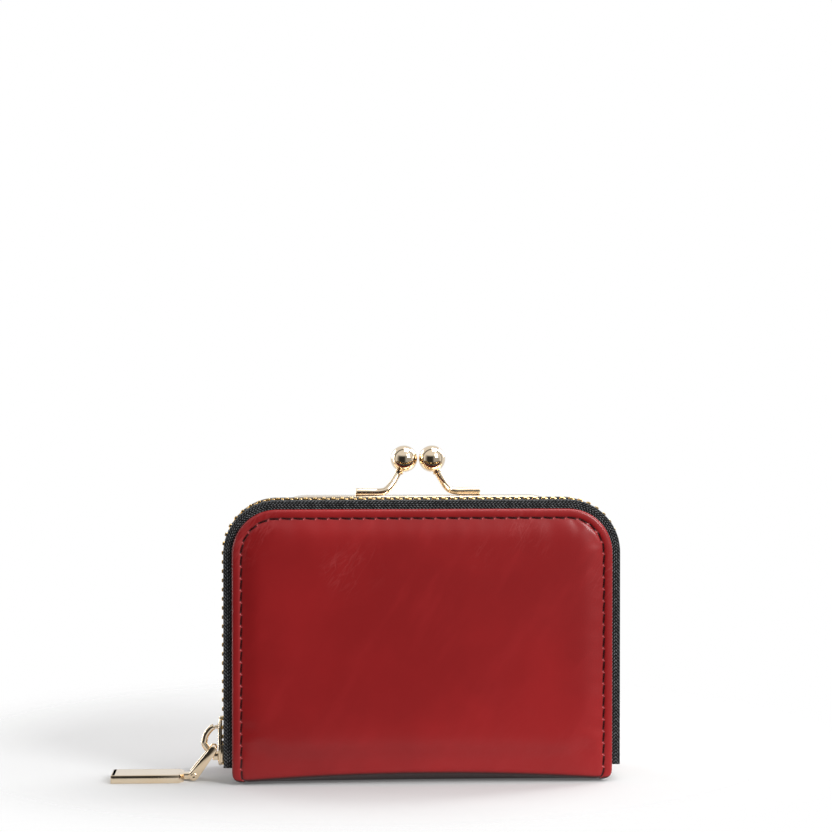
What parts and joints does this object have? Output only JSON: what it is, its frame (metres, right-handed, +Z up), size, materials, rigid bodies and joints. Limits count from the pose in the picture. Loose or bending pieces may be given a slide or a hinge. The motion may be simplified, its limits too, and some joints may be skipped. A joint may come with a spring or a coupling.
{
  "type": "coin purse",
  "caption": "Upright two-compartment purse: zip-around card case with smooth leather front, wire pull and bar tag, and a kiss-lock framed coin pouch behind.",
  "frame": {"origin": "centre of the flat rest face under the spine", "axes": "+X along the width to the right as seen from the front, -Y out of the leather front panel, +Z up"},
  "size_m": [0.1553, 0.0354, 0.1015],
  "materials": {
    "red_leather": "smooth semi-gloss deep red leather",
    "board": "pressed fibre board, unfinished",
    "zip_tape": "black woven tape",
    "lining": "black twill lining",
    "tooth_metal": "bright gold-coloured zip teeth",
    "gold_metal": "polished pale gold plating"
  },
  "bodies": {
    "case": {"base_spine": "red_leather", "base_board": "board", "front_fold": "red_leather", "back_cover_lower": "red_leather", "back_fold": "red_leather", "divider_panel": "red_leather", "divider_board": "board", "divider_lining": "lining", "slip_pocket": "lining", "rear_zip_tape": "zip_tape", "rear_zip_teeth": "tooth_metal", "rear_end_stops": "tooth_metal", "pouch_front": "red_leather", "pouch_front_lining": "lining", "pouch_back_lining": "lining", "pouch_floor": "lining", "left_gusset": "red_leather", "right_gusset": "red_leather", "upper_gussets": "lining", "front_frame": "gold_metal", "frame_rivets": "gold_metal", "front_clasp_arm": "gold_metal", "front_clasp_ball": "gold_metal"},
    "front_cover": {"front_cover_panel": "red_leather", "front_cover_board": "board", "front_cover_lining": "lining", "card_slot_high": "lining", "card_slot_middle": "lining", "card_slot_low": "lining", "front_zip_tape": "zip_tape", "front_zip_teeth": "tooth_metal", "front_end_stops": "tooth_metal"},
    "opening_half": {"rear_frame": "gold_metal", "rear_clasp_arm": "gold_metal", "rear_clasp_ball": "gold_metal", "back_cover_upper": "red_leather", "pouch_upper_lining": "lining"},
    "zip_slider": {"slider_body": "gold_metal", "slider_bail": "gold_metal"},
    "link": {"pull_link": "gold_metal", "pull_pin": "gold_metal"},
    "tag": {"pull_tag": "gold_metal"}
  },
  "joints": [
    {"name": "front_cover_hinge", "type": "hinge", "parent": "case", "child": "front_cover", "pos_m": [0, -0.0152, 0.0028], "axis": [1, 0, 0], "range_deg": [0, 90], "deforming": ["front_fold"]},
    {"name": "kiss_lock_hinge", "type": "hinge", "parent": "case", "child": "opening_half", "pos_m": [0, 0.0097, 0.055], "axis": [-1, 0, 0], "range_deg": [0, 65], "deforming": ["back_fold", "upper_gussets"]},
    {"name": "zip_slide", "type": "slide", "parent": "case", "child": "zip_slider", "axis": [0, 0, 1], "range_m": [0, 0.045]},
    {"name": "link_swing", "type": "hinge", "parent": "zip_slider", "child": "link", "pos_m": [-0.0636, -0.0076, 0.00955], "axis": [0, 1, 0], "range_deg": [-10, 80]},
    {"name": "tag_swing", "type": "hinge", "parent": "link", "child": "tag", "pos_m": [-0.0695, -0.0076, 0.00172], "axis": [0, 1, 0], "range_deg": [-80, 30]}
  ]
}
